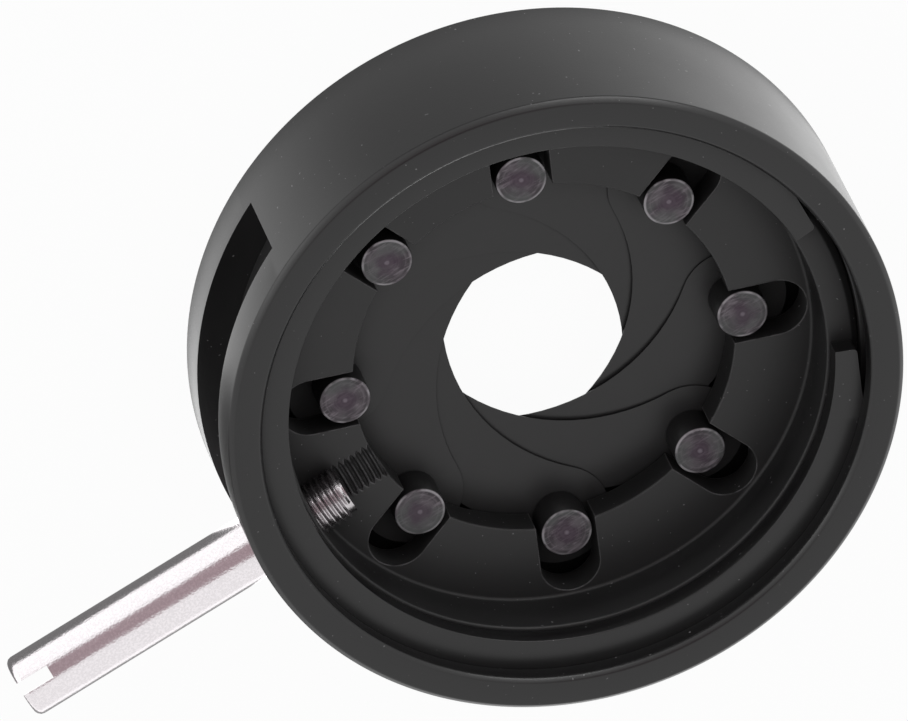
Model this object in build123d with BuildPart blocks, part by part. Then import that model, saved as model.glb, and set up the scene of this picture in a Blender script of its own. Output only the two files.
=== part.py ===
from build123d import *
from math import atan2, cos, degrees, radians, sin
import os

# Iris diaphragm with eight leaves, for a 25 mm optics mount (millimetres).
#
# The origin is the centre of the back face, on the optical axis. +Z points out of the open front,
# and the lever lies along +X in the half-closed position that the part is drawn in.
#
# Each leaf is a thin sickle with two pins: a pivot pin that turns in the back of the housing, and a
# drive pin that rides in a radial slot of the cam ring. Turning the cam ring by its lever swings all
# eight leaves about their pivots. Angles are in degrees and grow counter-clockwise seen from the
# front, which is the direction that closes the iris.

LEAVES = 8
STEP_ANGLE = 360 / LEAVES

# Housing: a turned cup with a central hole, a bore for the cam ring and a groove for the snap ring
HOUSING_RADIUS = 12.5
HOUSING_HEIGHT = 7.35
BORE_RADIUS = 11.25
WELL_RADIUS = 10.95
FLOOR = 1.185
LEDGE = 1.975
CLEAR_HOLE_RADIUS = 6.0
OUTER_BREAK = 0.2
RIM_BREAK = 0.15

# Side window that the lever passes through
WINDOW_START = -62.2
WINDOW_END = 40.0
WINDOW_TOP = 5.5

# Snap ring: flat split ring in a groove just behind the front rim, tapered at its two ends
RING_INNER_RADIUS = 10.12
RING_OUTER_RADIUS = 11.52
RING_BOTTOM = 5.74
RING_THICKNESS = 0.76
RING_GAP_START = 153.7
RING_GAP_END = 182.3
RING_TAPER_ANGLE = 15.0
RING_TAPER_DEPTH = 0.6
GROOVE_DEPTH = 0.35
GROOVE_PLAY = 0.02

# Cam ring: web with slots, raised rim round it and a short foot that stands on the ledge
CAM_RADIUS = 11.2
CAM_BORE_RADIUS = 7.09
RIM_INNER_RADIUS = 10.0
FOOT_INNER_RADIUS = 10.97
CAM_BOTTOM = LEDGE + 0.02
WEB_BOTTOM = 2.36
WEB_TOP = 3.6
CAM_TOP = 5.7
CAM_OUTER_BREAK = 0.25
CAM_INNER_BREAK = 0.08

# Lever: rod with a screwed end that sits in the rim of the cam ring
LEVER_HEIGHT = 4.2
LEVER_ROD_RADIUS = 1.19
LEVER_SHOULDER = 11.28
LEVER_TIP = 22.4
LEVER_TIP_BREAK = 0.15
THREAD_RADIUS = 1.0
THREAD_INNER_END = 8.6
THREAD_END_BREAK = 0.12
DRIVER_SLOT_WIDTH = 0.5
DRIVER_SLOT_DEPTH = 1.3
DRIVER_SLOT_TURN = 31

# Leaves: flat sickles that lie on one another, each tilted so that its drive end is highest
LEAF_INNER_RADIUS = 6.96
LEAF_OUTER_RADIUS = 9.875
PIN_ARC_RADIUS = 8.9
LEAF_SWEEP = 133.5
DRIVE_END_RADIUS = 1.94
PIVOT_END_RADIUS = 1.7
LEAF_THICKNESS = 0.025
LEAF_SLOPE = 0.055
SLOPE_ANGLE = 162.0
PIVOT_LEVEL = 1.3
SWING_AT_REST = 24.3

# Pins of the leaves
PIVOT_PIN_RADIUS = 0.6
PIVOT_HOLE_RADIUS = 0.625
PIVOT_PIN_BOTTOM = 0.08
DRIVE_PIN_RADIUS = 0.95
DRIVE_PIN_TOP = 3.58

# Motion: the cam ring turns this many degrees for each degree that a leaf swings
CAM_RATIO = 2.05
SLOT_WIDTH = 2.22
SLOT_END = 9.83
DRIVE_PIN_START = 22.5

# Cuts run this far past the walls that they open, and edges are picked by radius this closely
OVERCUT = 0.1
RADIUS_MATCH = 0.01


def polar(radius, angle):
    """Point at a radius and an angle in degrees."""
    return radius * cos(radians(angle)), radius * sin(radians(angle))


def drive_pin_angle(swing):
    """Angle from a leaf's pivot to its drive pin, seen from the optical axis."""
    arm = 2 * PIN_ARC_RADIUS * sin(radians(LEAF_SWEEP / 2))
    lean = LEAF_SWEEP / 2 + swing
    x = PIN_ARC_RADIUS - arm * sin(radians(lean))
    y = arm * cos(radians(lean))
    return degrees(atan2(y, x)) % 360


def radial_plane(angle):
    """Upright plane through the optical axis whose X points outwards at an angle."""
    return Plane(origin=(0, 0, 0), x_dir=(*polar(1, angle), 0), z_dir=(*polar(1, angle - 90), 0))


def circles(edges, radius):
    """Round edges of one radius, from the lowest to the highest."""
    rounds = edges.filter_by(GeomType.CIRCLE)
    return rounds.filter_by(lambda edge: abs(edge.radius - radius) < RADIUS_MATCH).sort_by(Axis.Z)


FIRST_PIVOT = DRIVE_PIN_START - drive_pin_angle(SWING_AT_REST)
MIDDLE_SWING = 90 - LEAF_SWEEP / 2
SLOT_ANGLE = FIRST_PIVOT + 180 + CAM_RATIO * (SWING_AT_REST - MIDDLE_SWING)

os.makedirs("parts", exist_ok=True)


# ---------------------------------------------------------------------------------------------
# Housing
# ---------------------------------------------------------------------------------------------
with BuildPart() as housing:
    with BuildSketch(Plane.XZ):
        with BuildLine():
            Polyline(
                (CLEAR_HOLE_RADIUS, 0),
                (HOUSING_RADIUS, 0),
                (HOUSING_RADIUS, HOUSING_HEIGHT),
                (BORE_RADIUS, HOUSING_HEIGHT),
                (BORE_RADIUS, LEDGE),
                (WELL_RADIUS, LEDGE),
                (WELL_RADIUS, FLOOR),
                (CLEAR_HOLE_RADIUS, FLOOR),
                close=True,
            )
        make_face()
    revolve(axis=Axis.Z)
    chamfer(circles(housing.edges(), HOUSING_RADIUS), OUTER_BREAK)
    chamfer(circles(housing.edges(), BORE_RADIUS)[-1], RIM_BREAK)

    # groove for the snap ring
    with BuildSketch(Plane.XY.offset(RING_BOTTOM - GROOVE_PLAY)):
        Circle(BORE_RADIUS + GROOVE_DEPTH)
        Circle(BORE_RADIUS - OVERCUT, mode=Mode.SUBTRACT)
    extrude(amount=RING_THICKNESS + 2 * GROOVE_PLAY, mode=Mode.SUBTRACT)

    # window in the wall
    with BuildSketch(radial_plane(WINDOW_START)):
        with BuildLine():
            Polyline(
                (BORE_RADIUS - OVERCUT, LEDGE),
                (HOUSING_RADIUS + OVERCUT, LEDGE),
                (HOUSING_RADIUS + OVERCUT, WINDOW_TOP),
                (BORE_RADIUS - OVERCUT, WINDOW_TOP),
                close=True,
            )
        make_face()
    revolve(axis=Axis.Z, revolution_arc=WINDOW_END - WINDOW_START, mode=Mode.SUBTRACT)

    # holes for the pivot pins
    with BuildSketch(Plane.XY):
        with PolarLocations(PIN_ARC_RADIUS, LEAVES, start_angle=FIRST_PIVOT):
            Circle(PIVOT_HOLE_RADIUS)
    extrude(amount=FLOOR, mode=Mode.SUBTRACT)
housing.part.label = "housing"
export_step(housing.part, "parts/housing.step")


# ---------------------------------------------------------------------------------------------
# Snap ring
# ---------------------------------------------------------------------------------------------
with BuildPart() as snap_ring:
    with BuildSketch(Plane.XY.offset(RING_BOTTOM)):
        Circle(RING_OUTER_RADIUS)
        Circle(RING_INNER_RADIUS, mode=Mode.SUBTRACT)
        with BuildLine():
            Polyline(
                (0, 0),
                polar(2 * HOUSING_RADIUS, RING_GAP_START),
                polar(2 * HOUSING_RADIUS, RING_GAP_END),
                close=True,
            )
        make_face(mode=Mode.SUBTRACT)
        ring_ends = ((RING_GAP_START, -RING_TAPER_ANGLE), (RING_GAP_END, RING_TAPER_ANGLE))
        for end, taper in ring_ends:
            with BuildLine():
                Polyline(
                    polar(RING_OUTER_RADIUS - RING_TAPER_DEPTH, end),
                    polar(HOUSING_RADIUS, end),
                    polar(HOUSING_RADIUS, end + taper),
                    polar(RING_OUTER_RADIUS, end + taper),
                    close=True,
                )
            make_face(mode=Mode.SUBTRACT)
    extrude(amount=RING_THICKNESS)
snap_ring.part.label = "snap_ring"
export_step(snap_ring.part, "parts/snap_ring.step")


# ---------------------------------------------------------------------------------------------
# Cam ring
# ---------------------------------------------------------------------------------------------
with BuildPart() as cam_ring:
    with BuildSketch(Plane.XZ):
        with BuildLine():
            Polyline(
                (CAM_BORE_RADIUS, WEB_BOTTOM),
                (FOOT_INNER_RADIUS, WEB_BOTTOM),
                (FOOT_INNER_RADIUS, CAM_BOTTOM),
                (CAM_RADIUS, CAM_BOTTOM),
                (CAM_RADIUS, CAM_TOP),
                (RIM_INNER_RADIUS, CAM_TOP),
                (RIM_INNER_RADIUS, WEB_TOP),
                (CAM_BORE_RADIUS, WEB_TOP),
                close=True,
            )
        make_face()
    revolve(axis=Axis.Z)
    chamfer(circles(cam_ring.edges(), CAM_RADIUS)[-1], CAM_OUTER_BREAK)
    chamfer(circles(cam_ring.edges(), RIM_INNER_RADIUS)[-1], CAM_INNER_BREAK)

    # slots for the drive pins, open towards the axis
    slot_start = CAM_BORE_RADIUS - SLOT_WIDTH
    with BuildSketch(Plane.XY.offset(WEB_BOTTOM)):
        with PolarLocations((slot_start + SLOT_END) / 2, LEAVES, start_angle=SLOT_ANGLE):
            SlotOverall(SLOT_END - slot_start, SLOT_WIDTH)
    extrude(amount=WEB_TOP - WEB_BOTTOM, mode=Mode.SUBTRACT)

    # tapped hole for the lever, which breaks out of the web as a trough
    with BuildSketch(Plane.YZ.offset(CAM_BORE_RADIUS - OVERCUT)):
        with Locations((0, LEVER_HEIGHT)):
            Circle(THREAD_RADIUS)
    extrude(amount=CAM_RADIUS - CAM_BORE_RADIUS + 2 * OVERCUT, mode=Mode.SUBTRACT)
cam_ring.part.label = "cam_ring"
export_step(cam_ring.part, "parts/cam_ring.step")


# ---------------------------------------------------------------------------------------------
# Lever
# ---------------------------------------------------------------------------------------------
with BuildPart() as lever:
    with BuildSketch(Plane.YZ.offset(LEVER_SHOULDER)):
        with Locations((0, LEVER_HEIGHT)):
            Circle(LEVER_ROD_RADIUS)
    extrude(amount=LEVER_TIP - LEVER_SHOULDER)
    chamfer(lever.edges().sort_by(Axis.X)[-1], LEVER_TIP_BREAK)
    with BuildSketch(Plane.YZ.offset(THREAD_INNER_END)):
        with Locations((0, LEVER_HEIGHT)):
            Circle(THREAD_RADIUS)
    extrude(amount=LEVER_SHOULDER - THREAD_INNER_END)
    chamfer(lever.edges().sort_by(Axis.X)[0], THREAD_END_BREAK)
    with BuildSketch(Plane.YZ.offset(LEVER_TIP)):
        with Locations((0, LEVER_HEIGHT)):
            Rectangle(DRIVER_SLOT_WIDTH, 3 * LEVER_ROD_RADIUS, rotation=DRIVER_SLOT_TURN)
    extrude(amount=-DRIVER_SLOT_DEPTH, mode=Mode.SUBTRACT)
lever.part.label = "lever"
export_step(lever.part, "parts/lever.step")


# ---------------------------------------------------------------------------------------------
# Leaves with their pivot pins and drive pins
# ---------------------------------------------------------------------------------------------
# In its own plane a leaf has its pivot at (0, 0) and rises along +Y. Its band is an arc through
# both pins, centred on a point that lies on the optical axis when the iris is wide open. The pins
# stand on its two faces, the pivot pin below and the drive pin above.
band_radius = (LEAF_INNER_RADIUS + LEAF_OUTER_RADIUS) / 2
pivot_bearing = 90 - SLOPE_ANGLE
drive_bearing = pivot_bearing + LEAF_SWEEP
arc_centre = Vector(*polar(-PIN_ARC_RADIUS, pivot_bearing))
drive_point = arc_centre + Vector(*polar(PIN_ARC_RADIUS, drive_bearing))

for number in range(1, LEAVES + 1):
    pivot_angle = FIRST_PIVOT + STEP_ANGLE * (number - 1)
    rise_angle = pivot_angle + SLOPE_ANGLE + SWING_AT_REST
    underside = Plane(
        origin=(*polar(PIN_ARC_RADIUS, pivot_angle), PIVOT_LEVEL),
        x_dir=(*polar(1, rise_angle - 90), 0),
        z_dir=(*polar(-LEAF_SLOPE, rise_angle), 1),
    )
    top_side = underside.offset(LEAF_THICKNESS)
    drive_place = underside.from_local_coords(drive_point)

    with BuildPart() as blade:
        with BuildSketch(underside):
            with BuildLine():
                band = CenterArc(arc_centre, band_radius, pivot_bearing, LEAF_SWEEP)
            SlotArc(band, LEAF_OUTER_RADIUS - LEAF_INNER_RADIUS)
            Circle(PIVOT_END_RADIUS)
            with Locations(drive_point):
                Circle(DRIVE_END_RADIUS)
        extrude(amount=LEAF_THICKNESS)
    blade.part.label = f"blade_{number}"
    export_step(blade.part, f"parts/blade_{number}.step")

    with BuildPart() as pivot_pin:
        with BuildSketch(Plane.XY.offset(PIVOT_PIN_BOTTOM)):
            with Locations(underside.origin):
                Circle(PIVOT_PIN_RADIUS)
        extrude(amount=2 * PIVOT_LEVEL)
        split(bisect_by=underside, keep=Keep.BOTTOM)
    pivot_pin.part.label = f"pivot_pin_{number}"
    export_step(pivot_pin.part, f"parts/pivot_pin_{number}.step")

    with BuildPart() as drive_pin:
        with BuildSketch(Plane.XY.offset(DRIVE_PIN_TOP)):
            with Locations((drive_place.X, drive_place.Y)):
                Circle(DRIVE_PIN_RADIUS)
        extrude(amount=-DRIVE_PIN_TOP)
        split(bisect_by=top_side, keep=Keep.TOP)
    drive_pin.part.label = f"drive_pin_{number}"
    export_step(drive_pin.part, f"parts/drive_pin_{number}.step")
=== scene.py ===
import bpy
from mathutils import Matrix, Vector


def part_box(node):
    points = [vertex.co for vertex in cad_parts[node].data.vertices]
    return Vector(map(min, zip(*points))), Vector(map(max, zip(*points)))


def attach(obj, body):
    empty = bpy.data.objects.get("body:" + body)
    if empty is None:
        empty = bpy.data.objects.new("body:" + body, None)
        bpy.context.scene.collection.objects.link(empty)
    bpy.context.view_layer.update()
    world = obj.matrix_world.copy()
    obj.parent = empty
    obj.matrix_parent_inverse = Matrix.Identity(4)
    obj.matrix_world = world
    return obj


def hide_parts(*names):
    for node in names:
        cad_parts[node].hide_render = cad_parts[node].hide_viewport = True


bl_info = {
    "name": "Iris diaphragm",
    "version": (1, 0, 0),
    "blender": (4, 5, 0),
    "location": "View3D > Sidebar > Iris",
    "description": "Dresses the packed eight-leaf iris diaphragm and lights it",
    "category": "Add Mesh",
}

from math import atan2, cos, pi, radians, sin

import bmesh
import bpy
from bpy.props import FloatProperty, FloatVectorProperty, IntProperty, PointerProperty
from mathutils import Matrix, Vector

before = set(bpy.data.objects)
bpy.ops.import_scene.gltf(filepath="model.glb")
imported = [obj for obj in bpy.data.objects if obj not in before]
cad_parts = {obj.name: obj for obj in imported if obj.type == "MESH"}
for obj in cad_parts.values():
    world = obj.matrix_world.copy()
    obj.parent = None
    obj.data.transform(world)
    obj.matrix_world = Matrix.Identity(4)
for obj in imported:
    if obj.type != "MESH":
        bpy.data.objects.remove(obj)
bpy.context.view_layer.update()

MM = 0.001
AXIS_Z = (0, 0, 1)
AXIS_X = (1, 0, 0)
FULL_TURN = 2 * pi
MERGE = 0.0001 * MM
SHARP_ANGLE = radians(32)
FLAT_ANGLE = radians(0.1)
ROUND_PROFILE = 0.5

LEAVES = 8
HOUSING_LOW, HOUSING_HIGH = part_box("housing")
RING_LOW, RING_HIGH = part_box("snap_ring")
CAM_LOW, CAM_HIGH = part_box("cam_ring")
LEVER_LOW, LEVER_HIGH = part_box("lever")

# How far a cutter reaches past what it cuts: inside it, outside it, and below or above it.
INNER_MARGIN = 0.1 * MM
OUTER_MARGIN = 0.5 * MM
FLAT_MARGIN = 0.2 * MM


# ---------------------------------------------------------------------------------------------
# Settings
# ---------------------------------------------------------------------------------------------
def length(name, description, millimetres):
    """Property for a size, given in millimetres and kept in metres."""
    return FloatProperty(
        name=name, description=description, default=millimetres * MM, unit="LENGTH", precision=5
    )


def angle(name, description, degrees):
    """Property for an angle, given in degrees and kept in radians."""
    return FloatProperty(
        name=name, description=description, default=radians(degrees), subtype="ANGLE"
    )


def colour(name, description, red, green, blue):
    """Property for a linear colour."""
    return FloatVectorProperty(
        name=name, description=description, default=(red, green, blue), subtype="COLOR", size=3
    )


class HousingSizes(bpy.types.PropertyGroup):
    steps: IntProperty(name="Steps", description="Facets round the housing", default=288)
    clear_hole: length("Clear hole", "Radius of the hole in the back", 6.0)
    bore: length("Bore", "Radius of the bore for the cam ring", 11.25)
    well: length("Well", "Radius of the recess for the leaves", 10.95)
    floor: length("Floor", "Height of the plate that the leaves turn on", 1.185)
    ledge: length("Ledge", "Height of the ledge that the cam ring stands on", 1.975)
    outer_break: length("Outer break", "Chamfer round the outside", 0.2)
    mouth_break: length("Mouth break", "Chamfer at the mouth of the bore", 0.15)
    edge_round: length("Edge round", "Rounding left by deburring", 0.05)
    groove: length("Groove", "Radius of the groove for the snap ring", 11.6)
    groove_play: length("Groove play", "Play of the snap ring in its groove", 0.02)
    window_start: angle("Window start", "Where the side window begins", -62.2)
    window_end: angle("Window end", "Where the side window ends", 40.0)
    window_top: length("Window top", "Height of the top of the side window", 5.5)
    pivot_hole: length("Pivot hole", "Radius of the holes for the pivot pins", 0.625)


class SnapRingSizes(bpy.types.PropertyGroup):
    steps: IntProperty(name="Steps", description="Facets round the snap ring", default=256)
    inner: length("Inner radius", "Radius of the hole of the ring", 10.12)
    outer: length("Outer radius", "Radius of the outside of the ring", 11.52)
    gap_start: angle("Gap start", "Where the gap begins", 153.7)
    gap_end: angle("Gap end", "Where the gap ends", 182.3)
    taper_angle: angle("Taper angle", "How far each end is tapered", 15)
    taper_depth: length("Taper depth", "What the taper takes off the outside at each end", 0.6)
    edge_round: length("Edge round", "Rounding left by stamping", 0.04)
    end_round: length("End round", "Rounding of the corners of both ends", 0.15)


class CamRingSizes(bpy.types.PropertyGroup):
    steps: IntProperty(name="Steps", description="Facets round the cam ring", default=288)
    bore: length("Bore", "Radius of the hole of the web", 7.09)
    rim_inner: length("Rim inner radius", "Inside of the raised rim", 10.0)
    foot_inner: length("Foot inner radius", "Inside of the foot under the rim", 10.97)
    web_bottom: length("Web bottom", "Height of the underside of the web", 2.36)
    web_top: length("Web top", "Height of the top of the web", 3.6)
    outer_break: length("Outer break", "Chamfer at the top of the outside", 0.25)
    rim_break: length("Rim break", "Rounding at the top of the rim's inside", 0.08)
    edge_round: length("Edge round", "Rounding of the turned edges", 0.04)
    corner_round: length("Corner round", "Tool radius between the web and the rim", 0.12)
    slot_width: length("Slot width", "Width of the slots for the drive pins", 2.22)
    slot_end: length("Slot end", "Radius that the slots reach", 9.83)
    first_slot: angle("First slot", "Direction of the first slot", 22.35)


class LeverSizes(bpy.types.PropertyGroup):
    steps: IntProperty(name="Steps", description="Facets round the lever", default=96)
    thread_steps: IntProperty(name="Thread steps", description="Facets round threads", default=48)
    rod: length("Rod", "Radius of the rod", 1.19)
    shoulder: length("Shoulder", "Distance from the optical axis to the rod's shoulder", 11.28)
    tip_break: length("Tip break", "Chamfer at the free end", 0.15)
    edge_round: length("Edge round", "Rounding of the polished edges", 0.1)
    thread_start: length("Thread start", "Distance from the optical axis to the screwed end", 8.6)
    crest: length("Crest", "Radius of the thread's crests", 0.985)
    root: length("Root", "Radius of the thread's roots", 0.84)
    pitch: length("Pitch", "Pitch of the thread", 0.25)
    slot_width: length("Driver slot width", "Width of the slot in the free end", 0.5)
    slot_depth: length("Driver slot depth", "Depth of the slot in the free end", 1.3)
    slot_turn: angle("Driver slot turn", "How the slot is turned about the rod", 31)


class PinSizes(bpy.types.PropertyGroup):
    steps: IntProperty(name="Steps", description="Facets round a pin", default=64)
    edge_break: length("Edge break", "Chamfer at the end of a drive pin", 0.07)
    ring_pitch: length("Ring pitch", "Distance between the turned rings", 0.09)
    ring_depth: length("Ring depth", "Depth of the turned rings", 0.008)
    centre: length("Centre", "Radius of the small nib at the centre", 0.09)


class Finishes(bpy.types.PropertyGroup):
    anodised: colour("Anodised", "Black of the turned parts", 0.0050, 0.0047, 0.0050)
    # Lighter colour along the edges: partly wear, partly painted edge highlight.
    anodised_wear_and_highlight: colour("Anodised edge", "Lighter black along the edges", 0.085, 0.082, 0.085)
    leaf: colour("Leaf", "Blackened steel of the leaves", 0.0095, 0.0090, 0.0094)
    pin: colour("Pin", "Dull steel of the pins", 0.115, 0.100, 0.112)
    chrome: colour("Chrome", "Bright plating of the lever", 0.84, 0.80, 0.82)


class StageSizes(bpy.types.PropertyGroup):
    floor_size: length("Floor size", "Side of the square floor", 3000)
    reflection: FloatProperty(name="Reflection", description="White in reflections", default=1.05)
    fill: FloatProperty(name="Fill", description="Light from all sides", default=0.5)
    key_power: FloatProperty(name="Key", description="Power of the key light", default=0.55)
    side_power: FloatProperty(name="Side", description="Power of the side light", default=0.15)


class IrisSettings(bpy.types.PropertyGroup):
    housing: PointerProperty(type=HousingSizes)
    snap_ring: PointerProperty(type=SnapRingSizes)
    cam_ring: PointerProperty(type=CamRingSizes)
    lever: PointerProperty(type=LeverSizes)
    pins: PointerProperty(type=PinSizes)
    finishes: PointerProperty(type=Finishes)
    stage: PointerProperty(type=StageSizes)


# ---------------------------------------------------------------------------------------------
# Shader maths
# ---------------------------------------------------------------------------------------------
# The Mix node's sockets for colours, which share their names with those for numbers.
MIX_SHARE, MIX_FIRST, MIX_SECOND, MIX_RESULT = 0, 6, 7, 2
# How many directions are tried to find an edge, and to find what stands round a point.
EDGE_SAMPLES = 6
RECESS_SAMPLES = 8
# How far the two normals part, and how enclosed a point is, where the effect starts and is full.
EDGE_PARTING = (0.01, 0.2)
RECESS_DEPTH = (0.15, 0.9)


class Value:
    """A socket of a material. Arithmetic on it adds Math nodes."""

    def __init__(self, shader, socket):
        self.shader = shader
        self.socket = socket

    def math(self, operation, *operands):
        inputs = dict(enumerate(operands))
        return self.shader.node("ShaderNodeMath", {"operation": operation}, inputs)

    def __add__(self, other):
        return self.math("ADD", self, other)

    def __radd__(self, other):
        return self.math("ADD", other, self)

    def __sub__(self, other):
        return self.math("SUBTRACT", self, other)

    def __rsub__(self, other):
        return self.math("SUBTRACT", other, self)

    def __mul__(self, other):
        return self.math("MULTIPLY", self, other)

    def __rmul__(self, other):
        return self.math("MULTIPLY", other, self)


class Shader:
    """The nodes of a material or world, written as expressions on Value objects."""

    def __init__(self, owner):
        owner.use_nodes = True
        self.tree = owner.node_tree
        self.principled = self.tree.nodes.get("Principled BSDF")

    def node(self, kind, settings=None, inputs=None, output=0):
        """Adds a node, sets it, feeds its sockets and returns one of its outputs."""
        added = self.tree.nodes.new(kind)
        for setting, value in (settings or {}).items():
            setattr(added, setting, value)
        for key, value in (inputs or {}).items():
            self.feed(added.inputs[key], value)
        return Value(self, added.outputs[output])

    def feed(self, socket, value):
        """Links a Value to a socket, or sets the socket to a constant."""
        if isinstance(value, Value):
            self.tree.links.new(value.socket, socket)
        else:
            socket.default_value = value

    def set(self, **sockets):
        """Feeds the Principled BSDF, with underscores for the spaces in a socket's name."""
        for name, value in sockets.items():
            self.feed(self.principled.inputs[name.replace("_", " ")], value)

    def position(self):
        return self.node("ShaderNodeTexCoord", output="Object")

    def noise(self, size, where=None, detail=2.0, stretch=(1, 1, 1)):
        """Noise whose patches are about `size` metres across, stretched along the axes."""
        place = self.node(
            "ShaderNodeMapping",
            inputs={"Vector": where or self.position(), "Scale": tuple(1 / s for s in stretch)},
        )
        inputs = {"Vector": place, "Scale": 1 / size, "Detail": detail}
        return self.node("ShaderNodeTexNoise", inputs=inputs)

    def span(self, value, low, high, change="LINEAR"):
        """0 below low, 1 above high, even between them."""
        inputs = {"Value": value, "From Min": low, "From Max": high}
        return self.node("ShaderNodeMapRange", {"interpolation_type": change}, inputs)

    def ramp(self, value, low, high):
        """0 below low, 1 above high, smooth between them."""
        return self.span(value, low, high, "SMOOTHSTEP")

    def mix(self, share, first, second):
        """Colour between two colours."""
        inputs = {MIX_SHARE: share, MIX_FIRST: opaque(first), MIX_SECOND: opaque(second)}
        return self.node("ShaderNodeMix", {"data_type": "RGBA"}, inputs, MIX_RESULT)

    def rounded_normal(self, radius):
        return self.node("ShaderNodeBevel", {"samples": EDGE_SAMPLES}, {"Radius": radius})

    def edges(self, rounded):
        """Share of edge at a point: how far the rounded normal leaves the true one."""
        flat = self.node("ShaderNodeNewGeometry", output="Normal")
        settings = {"operation": "DOT_PRODUCT"}
        alike = self.node("ShaderNodeVectorMath", settings, {0: flat, 1: rounded}, output="Value")
        return self.ramp(1 - alike, *EDGE_PARTING)

    def recess(self, reach):
        """How enclosed a point is by what stands within reach: 0 in the open, 1 deep in a slot."""
        settings = {"samples": RECESS_SAMPLES}
        inputs = {"Distance": reach}
        open_share = self.node("ShaderNodeAmbientOcclusion", settings, inputs, output="AO")
        return self.ramp(1 - open_share, *RECESS_DEPTH)

    def bump(self, height, distance, strength=1.0, normal=None):
        inputs = {"Height": height, "Distance": distance, "Strength": strength}
        if normal:
            inputs["Normal"] = normal
        return self.node("ShaderNodeBump", inputs=inputs)


def opaque(value):
    """A colour with its alpha, or a linked colour as it is."""
    return value if isinstance(value, Value) else (*value, 1)


def scaled(shade, factor):
    """A colour made lighter or darker."""
    return tuple(factor * part for part in shade)


# ---------------------------------------------------------------------------------------------
# Finishes
# ---------------------------------------------------------------------------------------------
RECESS_REACH = 3 * MM
DUST_COLOUR = (0.3, 0.29, 0.3)

# Where the marks on a pin's end begin and end, in radii of the pin.
NIB_HIGHLIGHT = (0.05, 0.13)
DARK_CENTRE = (0.2, 0.75)
RIM_HIGHLIGHT = (0.87, 0.93)
BARE_END = (0.97, 0.995)
# Their colours. The nib's and the rim's light colours are painted highlights.
NIB_HIGHLIGHT_COLOUR = (0.3, 0.26, 0.3)
CENTRE_COLOUR = (0.058, 0.036, 0.055)
STAIN_COLOUR = (0.090, 0.098, 0.094)
RIM_HIGHLIGHT_COLOUR = (0.42, 0.40, 0.42)


def black_anodised(name, base, edge_wear_and_highlight, wear_and_highlight_share=0.6, wear_and_highlight_width=0.05 * MM, matt=0.0, soft=False):
    """Fine-blasted aluminium, dyed black: faint mottling, pale edges that are partly wear and
    partly painted edge highlight, a few bright specks, and recesses that the blasting and the
    wiping of hands leave dull. A soft finish also rounds the shading of the edges."""
    material = bpy.data.materials.new(name)
    shader = Shader(material)
    mottle = shader.noise(2.5 * MM, detail=4)
    grain = shader.noise(0.06 * MM, detail=2)
    dust = shader.ramp(shader.noise(0.12 * MM, detail=0), 0.83, 0.87)
    rounded = shader.rounded_normal(wear_and_highlight_width)
    # Edges lighter in the base colour: partly wear, partly painted edge highlight.
    edge = shader.edges(rounded) * shader.ramp(shader.noise(0.5 * MM), 0.2, 0.6) * wear_and_highlight_share
    body = shader.mix(mottle, base, scaled(base, 1.35))
    smooth = 0.27
    dulling = shader.recess(RECESS_REACH) * 0.5
    shader.set(
        Base_Color=shader.mix(dust * 0.5, shader.mix(edge, body, edge_wear_and_highlight), DUST_COLOUR),
        Roughness=(smooth + matt) + mottle * 0.08 + grain * 0.06 + dulling,
        Normal=shader.bump(grain, 0.004 * MM, 0.5, rounded if soft else None),
    )
    return material


def blackened_leaf(name, base):
    """Thin rolled steel with a black finish: fine lines along the roll and soft clouds."""
    material = bpy.data.materials.new(name)
    shader = Shader(material)
    rolled = shader.noise(0.12 * MM, detail=2, stretch=(6, 1, 1))
    clouds = shader.noise(3 * MM, detail=3)
    grain = shader.noise(0.05 * MM)
    smooth = 0.37
    dulling = shader.recess(RECESS_REACH) * 0.55
    shader.set(
        Base_Color=shader.mix(clouds, base, scaled(base, 1.3)),
        Roughness=smooth + rolled * 0.06 + clouds * 0.05 + dulling,
        Normal=shader.bump(rolled + grain, 0.002 * MM, 0.4),
    )
    return material


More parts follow.
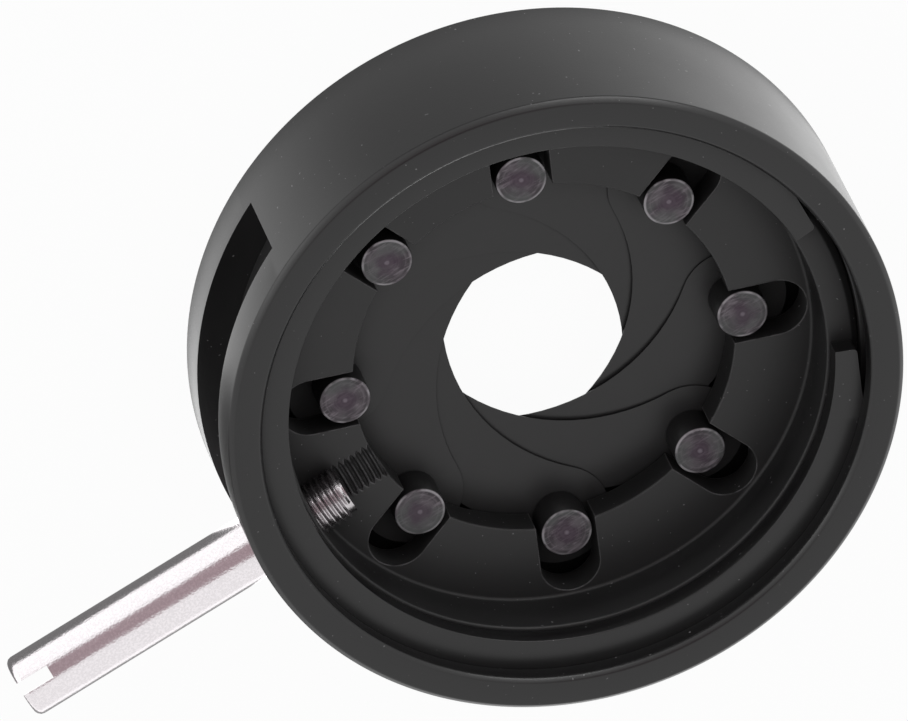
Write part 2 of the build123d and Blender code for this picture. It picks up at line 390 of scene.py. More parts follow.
def turned_pin(name, base, side):
    """Bare turned end and a dark side in the colour given for it. The UV map has its origin on the
    pin's axis, and its unit is the pin's radius. The stains and scores differ from pin to pin. The
    light spot on the nib and the light ring round the end are painted highlights."""
    material = bpy.data.materials.new(name)
    shader = Shader(material)
    spot = shader.node("ShaderNodeUVMap")
    settings = {"operation": "LENGTH"}
    reach = shader.node("ShaderNodeVectorMath", settings, {0: spot}, output="Value")
    across = shader.node("ShaderNodeCombineXYZ", inputs={0: reach})
    rings = shader.noise(0.13, where=across, detail=3)
    stains = shader.noise(0.5 * MM, detail=3)
    scores = shader.noise(0.05 * MM, detail=3, stretch=(9, 1.5, 1))
    tint = shader.noise(1.3 * MM)
    ragged = reach + (stains - 0.5) * 0.9
    centre = 1 - shader.ramp(ragged, *DARK_CENTRE)
    # Painted highlight: a light spot on the nib.
    nib = 1 - shader.ramp(reach + (scores - 0.5) * 0.1, *NIB_HIGHLIGHT)
    bare = 1 - shader.ramp(reach, *BARE_END)
    # Painted highlight: a light ring round the edge of the end.
    rim = shader.ramp(reach, *RIM_HIGHLIGHT) * shader.ramp(shader.noise(0.7 * MM), 0.38, 0.6)
    light = scaled(base, 1.55)
    dark = scaled(base, 0.42)
    turned_face = shader.mix(shader.ramp(rings * 0.5 + stains * 0.5, 0.4, 0.6), dark, base)
    scored = shader.mix(shader.ramp(scores, 0.5, 0.68) * 0.75, turned_face, light)
    stained = shader.mix(shader.ramp(tint, 0.42, 0.6) * 0.55, scored, STAIN_COLOUR)
    middle = shader.mix(centre * 0.7, stained, CENTRE_COLOUR)
    end = shader.mix(nib * 0.35, middle, NIB_HIGHLIGHT_COLOUR)
    shader.set(
        Base_Color=shader.mix(bare, side, shader.mix(rim * 0.6, end, RIM_HIGHLIGHT_COLOUR)),
        Metallic=bare * 0.7,
        Roughness=0.36 + stains * 0.25,
        Normal=shader.bump(rings * 0.5 + scores, 0.012 * MM, 0.6),
    )
    return material


def plain_pin(name, base):
    """Dull drawn steel of the pivot pins."""
    material = bpy.data.materials.new(name)
    shader = Shader(material)
    drawn = shader.noise(0.1 * MM, stretch=(1, 1, 5))
    shader.set(
        Base_Color=shader.mix(drawn, scaled(base, 0.6), base),
        Metallic=0.9,
        Roughness=0.34 + drawn * 0.15,
    )
    return material


def bright_chrome(name, base, dull=0.0):
    """Plated steel: mirror-like, with fine lines along the rod and tiny pits that sparkle."""
    material = bpy.data.materials.new(name)
    shader = Shader(material)
    drawn = shader.noise(0.10 * MM, detail=3, stretch=(14, 1, 1))
    pits = shader.noise(0.09 * MM, detail=1)
    cloud = shader.noise(1.4 * MM, stretch=(3, 1, 1))
    speckled = shader.mix(shader.ramp(pits, 0.42, 0.62), scaled(base, 0.89), base)
    smooth = 0.10
    shader.set(
        Base_Color=shader.mix(cloud * 0.5, speckled, scaled(base, 0.9)),
        Metallic=1.0,
        Roughness=(smooth + dull) + drawn * 0.10 + cloud * 0.05,
        Normal=shader.bump(drawn * 0.5 + pits, 0.010 * MM, 0.6),
    )
    return material


# ---------------------------------------------------------------------------------------------
# Modelling helpers
# ---------------------------------------------------------------------------------------------
CORNER_SEGMENTS = 3
# Width of the flats at a thread's crests and roots, in pitches.
THREAD_FLAT = 0.14


def turned(bm, profile, steps, start=0.0, sweep=FULL_TURN):
    """Turns a closed outline of (radius, height, rounding) about the optical axis."""
    towards = Vector((cos(start), sin(start), 0))
    corners = [
        bm.verts.new(towards * radius + Vector((0, 0, height))) for radius, height, _ in profile
    ]
    bm.faces.new(corners)
    for corner, (_, _, rounding) in zip(corners, profile):
        if rounding:
            round_corner(bm, corner, rounding)
    outline = bm.faces[:][0]
    around = {"cent": (0, 0, 0), "axis": AXIS_Z, "steps": steps, "angle": sweep}
    if sweep == FULL_TURN:
        edges = outline.edges[:]
        bmesh.ops.delete(bm, geom=[outline], context="FACES_ONLY")
        bmesh.ops.spin(bm, geom=edges, use_merge=True, **around)
    else:
        bmesh.ops.spin(bm, geom=[outline], **around)
    tidy(bm)


def round_corner(bm, corner, rounding):
    bmesh.ops.bevel(
        bm, geom=[corner], offset=rounding, affect="VERTICES", segments=CORNER_SEGMENTS,
        profile=ROUND_PROFILE, material=-1,
    )


def turned_solid(bm, profile, steps, centre, axis):
    """Turns an open outline of (radius, height) from axis to axis into a solid of revolution."""
    axis = Vector(axis)
    side = axis.orthogonal().normalized()
    points = [bm.verts.new(centre + side * radius + axis * height) for radius, height in profile]
    edges = [bm.edges.new(pair) for pair in zip(points, points[1:])]
    bmesh.ops.spin(
        bm, geom=edges, cent=centre, axis=axis, steps=steps, angle=FULL_TURN, use_merge=True
    )
    tidy(bm)


def screw(bm, crest, root, pitch, start, stop, height, steps):
    """A helical thread along X, closed at both ends."""
    flat = THREAD_FLAT * pitch
    rise = pitch / 2 - flat
    tooth = [(0, root), (flat, root), (flat + rise, crest), (2 * flat + rise, crest), (pitch, root)]
    points = [bm.verts.new((start + along, 0, height + radius)) for along, radius in tooth]
    edges = [bm.edges.new(pair) for pair in zip(points, points[1:])]
    turns = int((stop - start) / pitch) - 1
    bmesh.ops.spin(
        bm, geom=edges, cent=(start, 0, height), axis=AXIS_X, steps=steps * turns,
        angle=FULL_TURN * turns, dvec=(pitch / steps, 0, 0),
    )
    bmesh.ops.remove_doubles(bm, verts=bm.verts[:], dist=MERGE)
    middle = (start + stop) / 2
    rims = [edge for edge in bm.edges if edge.is_boundary]
    for place, side in ((start, -1), (stop, 1)):
        rim = [edge for edge in rims if (edge.verts[0].co.x - middle) * side > 0]
        grown = bmesh.ops.extrude_edge_only(bm, edges=rim)["geom"]
        ends = [item for item in grown if isinstance(item, bmesh.types.BMVert)]
        for vert in ends:
            turn = atan2(vert.co.y, vert.co.z - height)
            vert.co = (place, root * sin(turn), height + root * cos(turn))
        bmesh.ops.remove_doubles(bm, verts=ends, dist=MERGE)
    bmesh.ops.holes_fill(bm, edges=[edge for edge in bm.edges if edge.is_boundary], sides=0)
    tidy(bm)


def tidy(bm):
    """Merges what meets and turns every face outwards."""
    bmesh.ops.remove_doubles(bm, verts=bm.verts[:], dist=MERGE)
    bmesh.ops.recalc_face_normals(bm, faces=bm.faces[:])


def place_mesh(name, bm):
    """Puts a bmesh into a new object at the origin."""
    mesh = bpy.data.meshes.new(name)
    bm.to_mesh(mesh)
    bm.free()
    piece = bpy.data.objects.new(name, mesh)
    bpy.context.scene.collection.objects.link(piece)
    return piece


def cut(piece, *cutters):
    """Cuts solids out of a piece and removes them."""
    for cutter in cutters:
        modifier = piece.modifiers.new("cut", "BOOLEAN")
        modifier.operation = "DIFFERENCE"
        modifier.solver = "EXACT"
        modifier.object = cutter
    depsgraph = bpy.context.evaluated_depsgraph_get()
    cut_mesh = bpy.data.meshes.new_from_object(piece.evaluated_get(depsgraph))
    piece.modifiers.clear()
    old_mesh = piece.data
    piece.data = cut_mesh
    bpy.data.meshes.remove(old_mesh)
    for cutter in cutters:
        cutter_mesh = cutter.data
        bpy.data.objects.remove(cutter)
        bpy.data.meshes.remove(cutter_mesh)


def merge_flats(piece):
    """Joins the facets that lie in one plane, so that a flat face is shaded as one."""
    bm = bmesh.new()
    bm.from_mesh(piece.data)
    bmesh.ops.dissolve_limit(
        bm, angle_limit=FLAT_ANGLE, verts=bm.verts[:], edges=bm.edges[:], delimit=set()
    )
    bm.to_mesh(piece.data)
    bm.free()


def finish_piece(piece, material, body, slot, *nodes):
    """Smooths a piece, gives it its finish and lets it ride in place of its CAD nodes."""
    mesh = piece.data
    mesh.name = piece.name
    mesh.polygons.foreach_set("use_smooth", [True] * len(mesh.polygons))
    mesh.set_sharp_from_angle(angle=SHARP_ANGLE)
    weighted = piece.modifiers.new("even_shading", "WEIGHTED_NORMAL")
    weighted.keep_sharp = True
    mesh.materials.clear()
    mesh.materials.append(material)
    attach(piece, body)
    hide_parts(*nodes)


def dress_node(node, material):
    """Gives a CAD node that stays its finish."""
    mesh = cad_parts[node].data
    mesh.materials.clear()
    mesh.materials.append(material)


# ---------------------------------------------------------------------------------------------
# Pieces
# ---------------------------------------------------------------------------------------------
class IRIS_OT_housing(bpy.types.Operator):
    """Build the turned housing with its groove, side window and pivot holes"""

    bl_idname = "iris.housing"
    bl_label = "Housing"

    def execute(self, context):
        sizes = context.scene.iris.housing
        finishes = context.scene.iris.finishes
        radius, height = HOUSING_HIGH.x, HOUSING_HIGH.z
        groove_low = RING_LOW.z - sizes.groove_play
        groove_high = RING_HIGH.z + sizes.groove_play
        outer, mouth, soft = sizes.outer_break, sizes.mouth_break, sizes.edge_round
        bm = bmesh.new()
        turned(
            bm,
            (
                (sizes.clear_hole, 0, soft),
                (radius - outer, 0, soft),
                (radius, outer, soft),
                (radius, height - outer, soft),
                (radius - outer, height, soft),
                (sizes.bore + mouth, height, soft),
                (sizes.bore, height - mouth, soft),
                (sizes.bore, groove_high, soft),
                (sizes.groove, groove_high, 0),
                (sizes.groove, groove_low, 0),
                (sizes.bore, groove_low, soft),
                (sizes.bore, sizes.ledge, 0),
                (sizes.well, sizes.ledge, soft),
                (sizes.well, sizes.floor, 0),
                (sizes.clear_hole, sizes.floor, soft),
            ),
            sizes.steps,
        )
        piece = place_mesh("housing_body", bm)
        cut(piece, self.window(sizes, radius), *self.pivot_holes(sizes))
        material = black_anodised("housing_black", finishes.anodised, finishes.anodised_wear_and_highlight)
        finish_piece(piece, material, "housing", "black_housing", "housing")
        return {"FINISHED"}

    def window(self, sizes, radius):
        """Sector of a ring that opens the wall for the lever."""
        inner = sizes.bore - INNER_MARGIN
        outer = radius + OUTER_MARGIN
        bm = bmesh.new()
        turned(
            bm,
            (
                (inner, sizes.ledge, 0),
                (outer, sizes.ledge, 0),
                (outer, sizes.window_top, 0),
                (inner, sizes.window_top, 0),
            ),
            sizes.steps // 3,
            sizes.window_start,
            sizes.window_end - sizes.window_start,
        )
        return place_mesh("window_cutter", bm)

    def pivot_holes(self, sizes):
        """Round cutters, one under each leaf's pivot pin."""
        for number in range(1, LEAVES + 1):
            low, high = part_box(f"pivot_pin_{number}")
            middle = (low + high) / 2
            bm = bmesh.new()
            bmesh.ops.create_cone(
                bm, cap_ends=True, segments=40, radius1=sizes.pivot_hole, radius2=sizes.pivot_hole,
                depth=2 * sizes.ledge, matrix=Matrix.Translation((middle.x, middle.y, 0)),
            )
            yield place_mesh(f"pivot_cutter_{number}", bm)


class IRIS_OT_snap_ring(bpy.types.Operator):
    """Build the split ring that holds the cam ring in"""

    bl_idname = "iris.snap_ring"
    bl_label = "Snap ring"

    def execute(self, context):
        sizes = context.scene.iris.snap_ring
        finishes = context.scene.iris.finishes
        low, high = RING_LOW.z, RING_HIGH.z
        soft = sizes.edge_round
        bm = bmesh.new()
        turned(
            bm,
            (
                (sizes.inner, low, soft),
                (sizes.outer, low, soft),
                (sizes.outer, high, soft),
                (sizes.inner, high, soft),
            ),
            sizes.steps,
            sizes.gap_end,
            FULL_TURN - (sizes.gap_end - sizes.gap_start),
        )
        piece = place_mesh("snap_ring_stamped", bm)
        cut(piece, *self.tapers(sizes, low, high))
        self.round_ends(piece, sizes)
        material = black_anodised("snap_ring_black", finishes.anodised, finishes.anodised_wear_and_highlight)
        finish_piece(piece, material, "housing", "black_ring", "snap_ring")
        return {"FINISHED"}

    def round_ends(self, piece, sizes):
        """Rounds the upright corners of the ring's two ends."""
        bm = bmesh.new()
        bm.from_mesh(piece.data)
        upright = [
            edge
            for edge in bm.edges
            if edge.is_manifold
            and edge.calc_face_angle() > SHARP_ANGLE
            and (edge.verts[0].co - edge.verts[1].co).xy.length < MERGE
            and edge.calc_length() > 2 * sizes.edge_round
        ]
        bmesh.ops.bevel(
            bm, geom=upright, offset=sizes.end_round, affect="EDGES", segments=4,
            profile=ROUND_PROFILE, material=-1,
        )
        bm.to_mesh(piece.data)
        bm.free()

    def tapers(self, sizes, low, high):
        """Wedges that slant the outside of the ring towards its two ends."""
        beyond = HOUSING_HIGH.x
        angle_margin = 0.05
        ends = ((sizes.gap_start, -sizes.taper_angle), (sizes.gap_end, sizes.taper_angle))
        for end, turn in ends:
            corners = (
                (sizes.outer - sizes.taper_depth, end - angle_margin * turn),
                (beyond, end - angle_margin * turn),
                (beyond, end + turn),
                (sizes.outer, end + turn),
            )
            bm = bmesh.new()
            outline = [
                bm.verts.new((reach * cos(place), reach * sin(place), low - FLAT_MARGIN))
                for reach, place in corners
            ]
            face = bm.faces.new(outline)
            grown = bmesh.ops.extrude_face_region(bm, geom=[face])["geom"]
            lifted = [item for item in grown if isinstance(item, bmesh.types.BMVert)]
            bmesh.ops.translate(bm, verts=lifted, vec=(0, 0, high - low + 2 * FLAT_MARGIN))
            tidy(bm)
            yield place_mesh("taper_cutter", bm)


class IRIS_OT_cam_ring(bpy.types.Operator):
    """Build the cam ring with its slots and the tapped hole that breaks out of its web"""

    bl_idname = "iris.cam_ring"
    bl_label = "Cam ring"

    def execute(self, context):
        sizes = context.scene.iris.cam_ring
        lever = context.scene.iris.lever
        finishes = context.scene.iris.finishes
        soft = sizes.edge_round
        bm = bmesh.new()
        turned(
            bm,
            (
                (sizes.bore, sizes.web_bottom, soft),
                (sizes.foot_inner, sizes.web_bottom, 0),
                (sizes.foot_inner, CAM_LOW.z, 0),
                (CAM_HIGH.x, CAM_LOW.z, soft),
                (CAM_HIGH.x, CAM_HIGH.z - sizes.outer_break, soft),
                (CAM_HIGH.x - sizes.outer_break, CAM_HIGH.z, soft),
                (sizes.rim_inner, CAM_HIGH.z, sizes.rim_break),
                (sizes.rim_inner, sizes.web_top, sizes.corner_round),
                (sizes.bore, sizes.web_top, soft),
            ),
            sizes.steps,
        )
        piece = place_mesh("cam_ring_turned", bm)
        cut(piece, *self.slots(sizes), self.tapped_hole(sizes, lever))
        merge_flats(piece)
        # The cam ring's edges twice as light and wider: partly wear, partly painted edge highlight.
        edge_wear_and_highlight = scaled(finishes.anodised_wear_and_highlight, 2)
        material = black_anodised(
            "cam_ring_black", finishes.anodised, edge_wear_and_highlight, wear_and_highlight_share=0.9, wear_and_highlight_width=0.1 * MM, matt=0.13,
            soft=True,
        )
        finish_piece(piece, material, "cam", "black_cam", "cam_ring")
        return {"FINISHED"}

    def slots(self, sizes):
        """Long cutters with a round outer end, one over each drive pin's slot."""
        half = sizes.slot_width / 2
        reach = sizes.slot_end - half
        cut_height = 2 * MM
        for number in range(1, LEAVES + 1):
            bm = bmesh.new()
            bmesh.ops.create_circle(bm, cap_ends=True, segments=48, radius=half)
            face = bm.faces[:][0]
            for vert in face.verts:
                vert.co.x += reach if vert.co.x > -MERGE else sizes.bore - 2 * half
            grown = bmesh.ops.extrude_face_region(bm, geom=[face])["geom"]
            lifted = [item for item in grown if isinstance(item, bmesh.types.BMVert)]
            bmesh.ops.translate(bm, verts=lifted, vec=(0, 0, cut_height))
            tidy(bm)
            turn = Matrix.Rotation(sizes.first_slot + number * FULL_TURN / LEAVES, 3, "Z")
            bmesh.ops.rotate(bm, verts=bm.verts[:], matrix=turn)
            bottom = sizes.web_bottom - FLAT_MARGIN
            bmesh.ops.translate(bm, verts=bm.verts[:], vec=(0, 0, bottom))
            yield place_mesh(f"slot_cutter_{number}", bm)

    def tapped_hole(self, sizes, lever):
        """Threaded cutter, a little larger than the lever's thread and in step with it."""
        bm = bmesh.new()
        spare_turns = 10
        start = lever.thread_start - spare_turns * lever.pitch
        centre = (LEVER_LOW.z + LEVER_HIGH.z) / 2
        play = 0.02 * MM
        screw(
            bm, lever.crest + play, lever.root + play, lever.pitch, start,
            CAM_HIGH.x + OUTER_MARGIN, centre, lever.thread_steps,
        )
        return place_mesh("tap_cutter", bm)


class IRIS_OT_lever(bpy.types.Operator):
    """Build the bright lever with its driver slot and its screwed end"""

    bl_idname = "iris.lever"
    bl_label = "Lever"

    def execute(self, context):
        sizes = context.scene.iris.lever
        finishes = context.scene.iris.finishes
        height = (LEVER_LOW.z + LEVER_HIGH.z) / 2
        tip = LEVER_HIGH.x
        centre = Vector((0, 0, height))
        soft = sizes.edge_round
        end = tip - sizes.tip_break
        bm = bmesh.new()
        turned_solid(
            bm,
            (
                (0, sizes.shoulder),
                (sizes.rod - soft, sizes.shoulder),
                (sizes.rod, sizes.shoulder + soft),
                (sizes.rod, end - soft),
                (sizes.rod - 0.3 * soft, end + 0.2 * soft),
                (sizes.rod - 0.8 * sizes.tip_break, tip - 0.3 * soft),
                (sizes.rod - 1.2 * sizes.tip_break, tip),
                (0, tip),
            ),
            sizes.steps,
            centre,
            AXIS_X,
        )
        rod = place_mesh("lever_rod", bm)
        cut(rod, self.driver_slot(sizes, tip, height))
        material = bright_chrome("lever_chrome", finishes.chrome)
        finish_piece(rod, material, "cam", "bright_lever", "lever")

        bm = bmesh.new()
        screw(
            bm, sizes.crest, sizes.root, sizes.pitch, sizes.thread_start, sizes.shoulder, height,
            sizes.thread_steps,
        )
        thread = place_mesh("lever_thread", bm)
        # Painted shade: the thread is a darker, duller copy of the lever's chrome.
        shaded_thread_chrome = bright_chrome("lever_thread_chrome", scaled(finishes.chrome, 0.7), dull=0.06)
        finish_piece(thread, shaded_thread_chrome, "cam", "bright_lever", "lever")
        return {"FINISHED"}

    def driver_slot(self, sizes, tip, height):
        """Flat cutter across the free end."""
        bm = bmesh.new()
        bmesh.ops.create_cube(bm, size=1)
        shape = (2 * sizes.slot_depth, sizes.slot_width, 4 * sizes.rod)
        bmesh.ops.scale(bm, verts=bm.verts[:], vec=shape)
        turn = Matrix.Rotation(sizes.slot_turn, 3, "X")
        bmesh.ops.rotate(bm, verts=bm.verts[:], matrix=turn)
        bmesh.ops.translate(bm, verts=bm.verts[:], vec=(tip, 0, height))
        return place_mesh("driver_slot_cutter", bm)


class IRIS_OT_leaves(bpy.types.Operator):
    """Give the eight leaves and their pivot pins their finish"""

    bl_idname = "iris.leaves"
    bl_label = "Leaves"

    def execute(self, context):
        finishes = context.scene.iris.finishes
        leaf = blackened_leaf("leaf_black", finishes.leaf)
        pivot = plain_pin("pivot_pin_steel", finishes.pin)
        for number in range(1, LEAVES + 1):
            dress_node(f"blade_{number}", leaf)
            dress_node(f"pivot_pin_{number}", pivot)
        return {"FINISHED"}


class IRIS_OT_drive_pins(bpy.types.Operator):
    """Build the drive pins with their turned ends"""

    bl_idname = "iris.drive_pins"
    bl_label = "Drive pins"

    def execute(self, context):
        sizes = context.scene.iris.pins
        finishes = context.scene.iris.finishes
        material = turned_pin("drive_pin_steel", finishes.pin, finishes.leaf)
        for number in range(1, LEAVES + 1):
            low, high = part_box(f"drive_pin_{number}")
            radius = (high.x - low.x) / 2
            centre = Vector(((low.x + high.x) / 2, (low.y + high.y) / 2, 0))
            outline = self.outline(sizes, radius, low.z, high.z)
            bm = bmesh.new()
            turned_solid(bm, outline, sizes.steps, centre, AXIS_Z)
            self.slant_foot(bm, f"drive_pin_{number}", low.z)
            map_end(bm, centre, radius)
            piece = place_mesh(f"drive_pin_turned_{number}", bm)
            finish_piece(piece, material, f"leaf_{number}", "pin_steel", f"drive_pin_{number}")
        return {"FINISHED"}

    def slant_foot(self, bm, node, bottom):
        """Slants the foot so that it lies on the leaf, as the pin's CAD node does."""
        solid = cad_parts[node]
        foot = min(solid.data.polygons, key=lambda face: face.normal.z)
        normal, spot = foot.normal, foot.center
        for vert in bm.verts:
            if vert.co.z < bottom + MERGE:
                aside = vert.co - spot
                vert.co.z = spot.z - (normal.x * aside.x + normal.y * aside.y) / normal.z

    def outline(self, sizes, radius, bottom, top):
        """Half of the pin's section: nib, turned rings, broken edge, wall and flat foot."""
        points = [(0, top), (sizes.centre, top - 0.4 * sizes.ring_depth)]
        place = sizes.centre + sizes.ring_pitch
        low = True
        while place < radius - 1.5 * sizes.edge_break:
            points.append((place, top - sizes.ring_depth * (1.0 if low else 0.3)))
            place += sizes.ring_pitch / 2
            low = not low
        points += [
            (radius - sizes.edge_break, top - 0.2 * sizes.ring_depth),
            (radius - 0.3 * sizes.edge_break, top - 0.35 * sizes.edge_break),
            (radius, top - sizes.edge_break),
            (radius, bottom),
            (0, bottom),
        ]
        return points


def map_end(bm, centre, radius):
    """UV map whose origin is the pin's axis and whose unit is the pin's radius."""
    layer = bm.loops.layers.uv.new("turned")
    for face in bm.faces:
        for loop in face.loops:
            spot = (loop.vert.co - centre) / radius
            loop[layer].uv = (spot.x, spot.y)


# ---------------------------------------------------------------------------------------------
# Stage
# ---------------------------------------------------------------------------------------------
CAMERA_RIGHT = Vector((-0.8505, 0.4748, 0.2262))
CAMERA_UP = Vector((-0.5222, -0.7109, -0.4710))
CAMERA_BACK = Vector((-0.0629, -0.5187, 0.8526))
CAMERA_DISTANCE = 0.75
# How far the middle of the view is from the middle of the housing, in radii of the housing.
CAMERA_ASIDE = 0.331
CAMERA_DOWN = 0.1316
# The lens shows the housing's radius this many pixels long in an image of this width.
RADIUS_IN_IMAGE = 347.12
IMAGE_WIDTH = 908
SENSOR_WIDTH = 36
LENS_PER_DISTANCE = RADIUS_IN_IMAGE * SENSOR_WIDTH / IMAGE_WIDTH

PAPER = (0.8, 0.8, 0.8, 1)
# Share of the floor that glows to the camera. The rest is lit, and keeps the shadow.
GLOW = 0.96

# The floor's levels in reflections, which paint the wall's sheen and the dark lines along the
# lever, and where they change: across the lever and along it.
FRONT_LEVEL, RISE, FALL, LEVER_SIDE_RISE = 0.54, 1.28, 0.7, 0.5
RISE_ACROSS, FALL_ACROSS = (-15.5 * MM, 0), (2 * MM, 12 * MM)
LEVER_SIDE_ALONG = (1 * MM, 8 * MM)
LEVER_LEVEL, BEFORE_FALL = 1.35, 1.14
BEFORE_STARTS, BEFORE_ENDS = (-8 * MM, -6.2 * MM), (0, 1.5 * MM)
BEHIND_STARTS, BEHIND_ENDS = (2.5 * MM, 4 * MM), (13 * MM, 18 * MM)
LEVER_START, LEVER_START_SLANT, LEVER_FADE = 12.4 * MM, 1 * MM, 0.6 * MM
SLANT_ACROSS = (-6 * MM, 0)

# The dim patch of the surroundings behind the camera, and the brighter front.
DIM_CENTRE = (CAMERA_BACK + Vector((0, 0.044, 0.027))).normalized()
DIM_EDGE = (cos(radians(30)), cos(radians(22)))
DIM_COLOUR = (0.40, 0.31, 0.33)
FRONT_EDGE = (0.80, 0.87)
FRONT_GAIN = 0.25

KEY_PLACE = CAMERA_UP * 0.25 + CAMERA_BACK * 0.12 + CAMERA_RIGHT * 0.10
SIDE_PLACE = CAMERA_UP * 0.02 - CAMERA_RIGHT * 0.25 + CAMERA_BACK * 0.12
KEY_SIZE = 0.20
SIDE_SIZE = 0.16


class IRIS_OT_stage(bpy.types.Operator):
    """Lay the pale floor and place the soft lights and the camera"""

    bl_idname = "iris.stage"
    bl_label = "Stage"

    def execute(self, context):
        sizes = context.scene.iris.stage
        self.camera(context)
        self.floor(sizes)
        self.surroundings(context, sizes)
        self.lamps(context, sizes)
        context.scene.view_settings.view_transform = "Standard"
        return {"FINISHED"}

    def camera(self, context):
        data = bpy.data.cameras.new("camera")
        data.sensor_width = SENSOR_WIDTH
        data.lens = LENS_PER_DISTANCE * CAMERA_DISTANCE / HOUSING_HIGH.x
        data.clip_start = 0.01
        camera = bpy.data.objects.new("camera", data)
        target = Vector((0, 0, HOUSING_HIGH.z))
        radius = HOUSING_HIGH.x
        place = target - CAMERA_RIGHT * CAMERA_ASIDE * radius + CAMERA_UP * CAMERA_DOWN * radius
        place += CAMERA_BACK * CAMERA_DISTANCE
        turn = Matrix((CAMERA_RIGHT, CAMERA_UP, CAMERA_BACK)).transposed()
        camera.matrix_world = Matrix.Translation(place) @ turn.to_4x4()
        context.scene.collection.objects.link(camera)
        context.scene.camera = camera

    def floor(self, sizes):
        bm = bmesh.new()
        bmesh.ops.create_grid(bm, x_segments=1, y_segments=1, size=sizes.floor_size / 2)
        bmesh.ops.translate(bm, verts=bm.verts[:], vec=(0, 0, HOUSING_LOW.z))
        piece = place_mesh("floor", bm)
        paper = bpy.data.materials.new("floor_paper")
        shader = Shader(paper)
        shader.set(Base_Color=PAPER, Roughness=0.9)
        seen = shader.node("ShaderNodeLightPath", output="Is Camera Ray")
        mirrored = shader.node("ShaderNodeLightPath", output="Is Glossy Ray")
        level = seen + mirrored * self.floor_in_mirrors(shader)
        inputs = {"Color": (1, 1, 1, 1), "Strength": level}
        glow = shader.node("ShaderNodeEmission", inputs=inputs)
        lit = Value(shader, shader.principled.outputs[0])
        share = seen * GLOW + mirrored
        mixed = shader.node("ShaderNodeMixShader", inputs={0: share, 1: lit, 2: glow})
        output = shader.tree.nodes["Material Output"]
        shader.feed(output.inputs["Surface"], mixed)
        piece.data.materials.append(paper)

    def floor_in_mirrors(self, shader):
        """Level of the floor in reflections, a painted reflection: dim before the housing, bright
        beside it, and by the lever bright with a painted shadow, a dark strip, along either side."""
        place = shader.position()
        along = shader.node("ShaderNodeSeparateXYZ", inputs={0: place}, output="X")
        across = shader.node("ShaderNodeSeparateXYZ", inputs={0: place}, output="Y")
        rise = shader.span(across, *RISE_ACROSS)
        fall = shader.ramp(across, *FALL_ACROSS)
        lever_side = 1 + shader.ramp(along, *LEVER_SIDE_ALONG) * LEVER_SIDE_RISE
        by_housing = (FRONT_LEVEL + rise * RISE - fall * FALL) * lever_side
        # Painted shadow: dark strips on the floor along either side of the lever, seen only in
        # reflections.
        before = shader.ramp(across, *BEFORE_STARTS) * (1 - shader.ramp(across, *BEFORE_ENDS))
        behind = shader.ramp(across, *BEHIND_STARTS) * (1 - shader.ramp(across, *BEHIND_ENDS))
        by_lever = LEVER_LEVEL - before * BEFORE_FALL - behind
        start = LEVER_START + shader.span(across, *SLANT_ACROSS) * LEVER_START_SLANT
        share = shader.ramp(along - start, 0, LEVER_FADE)
        return by_housing * (1 - share) + by_lever * share

    def surroundings(self, context, sizes):
        """White to the camera and in reflections, softer as light, with a dim patch behind the
        camera and a brighter front that bright metal mirrors."""
        world = bpy.data.worlds.new("studio")
        shader = Shader(world)
        towards = shader.node("ShaderNodeTexCoord", output="Generated")
        facing = shader.node(
            "ShaderNodeVectorMath", {"operation": "DOT_PRODUCT"}, {0: towards, 1: DIM_CENTRE},
            output="Value",
        )
        dim = shader.ramp(facing, *DIM_EDGE)
        side = shader.node("ShaderNodeSeparateXYZ", inputs={0: towards}, output="Y")
        front = 1 + shader.ramp(0 - side, *FRONT_EDGE) * FRONT_GAIN
        seen = shader.node("ShaderNodeLightPath", output="Is Camera Ray")
        mirrored = shader.node("ShaderNodeLightPath", output="Is Glossy Ray")
        unseen = mirrored * front * sizes.reflection + (1 - mirrored) * sizes.fill
        level = seen + (1 - seen) * unseen
        back = shader.tree.nodes["Background"]
        tint = shader.mix(dim * mirrored, (1, 1, 1), DIM_COLOUR)
        shader.feed(back.inputs["Color"], tint)
        shader.feed(back.inputs["Strength"], level)
        context.scene.world = world

    def lamps(self, context, sizes):
        """A broad key light above the camera's view and a weaker one at its left."""
        target = Vector((0, 0, HOUSING_HIGH.z / 2))
        self.lamp(context, "key", target + KEY_PLACE, target, KEY_SIZE, sizes.key_power)
        self.lamp(context, "side", target + SIDE_PLACE, target, SIDE_SIZE, sizes.side_power)

    def lamp(self, context, name, place, target, size, power):
        data = bpy.data.lights.new(name, "AREA")
        data.size = size
        data.energy = power
        lamp = bpy.data.objects.new(name, data)
        lamp.location = place
        lamp.rotation_euler = (place - target).to_track_quat("Z", "Y").to_euler()
        context.scene.collection.objects.link(lamp)


# ---------------------------------------------------------------------------------------------
# Add-on
# ---------------------------------------------------------------------------------------------
OPERATORS = (
    IRIS_OT_stage,
    IRIS_OT_housing,
    IRIS_OT_snap_ring,
    IRIS_OT_cam_ring,
    IRIS_OT_lever,
    IRIS_OT_leaves,
    IRIS_OT_drive_pins,
)


class IRIS_PT_build(bpy.types.Panel):
    """Lists the pieces of the iris diaphragm"""

    bl_label = "Iris diaphragm"
    bl_idname = "IRIS_PT_build"
    bl_space_type = "VIEW_3D"
    bl_region_type = "UI"
    bl_category = "Iris"

    def draw(self, context):
        for operator in OPERATORS:
            self.layout.operator(operator.bl_idname)


CLASSES = (
    HousingSizes,
    SnapRingSizes,
    CamRingSizes,
    LeverSizes,
    PinSizes,
    Finishes,
    StageSizes,
    IrisSettings,
    *OPERATORS,
    IRIS_PT_build,
)


def register():
    for entry in CLASSES:
        bpy.utils.register_class(entry)
    bpy.types.Scene.iris = PointerProperty(type=IrisSettings)


def unregister():
    del bpy.types.Scene.iris
    for entry in reversed(CLASSES):
        bpy.utils.unregister_class(entry)


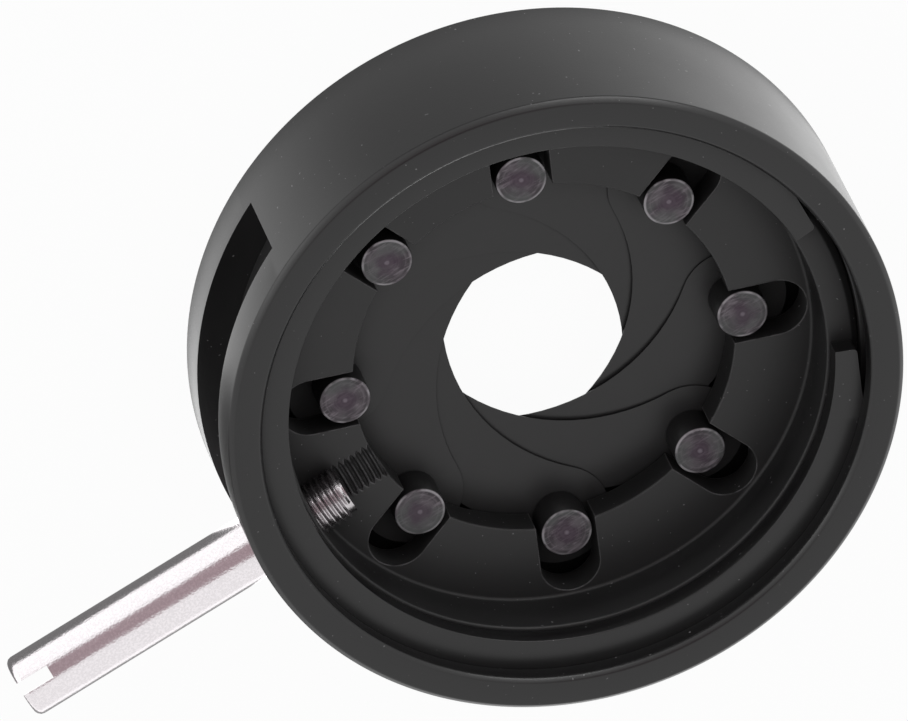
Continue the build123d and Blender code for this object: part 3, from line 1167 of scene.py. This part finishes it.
def main():
    register()
    bpy.ops.iris.stage()
    bpy.ops.iris.housing()
    bpy.ops.iris.snap_ring()
    bpy.ops.iris.cam_ring()
    bpy.ops.iris.lever()
    bpy.ops.iris.leaves()
    bpy.ops.iris.drive_pins()


if __name__ == "__main__":
    main()
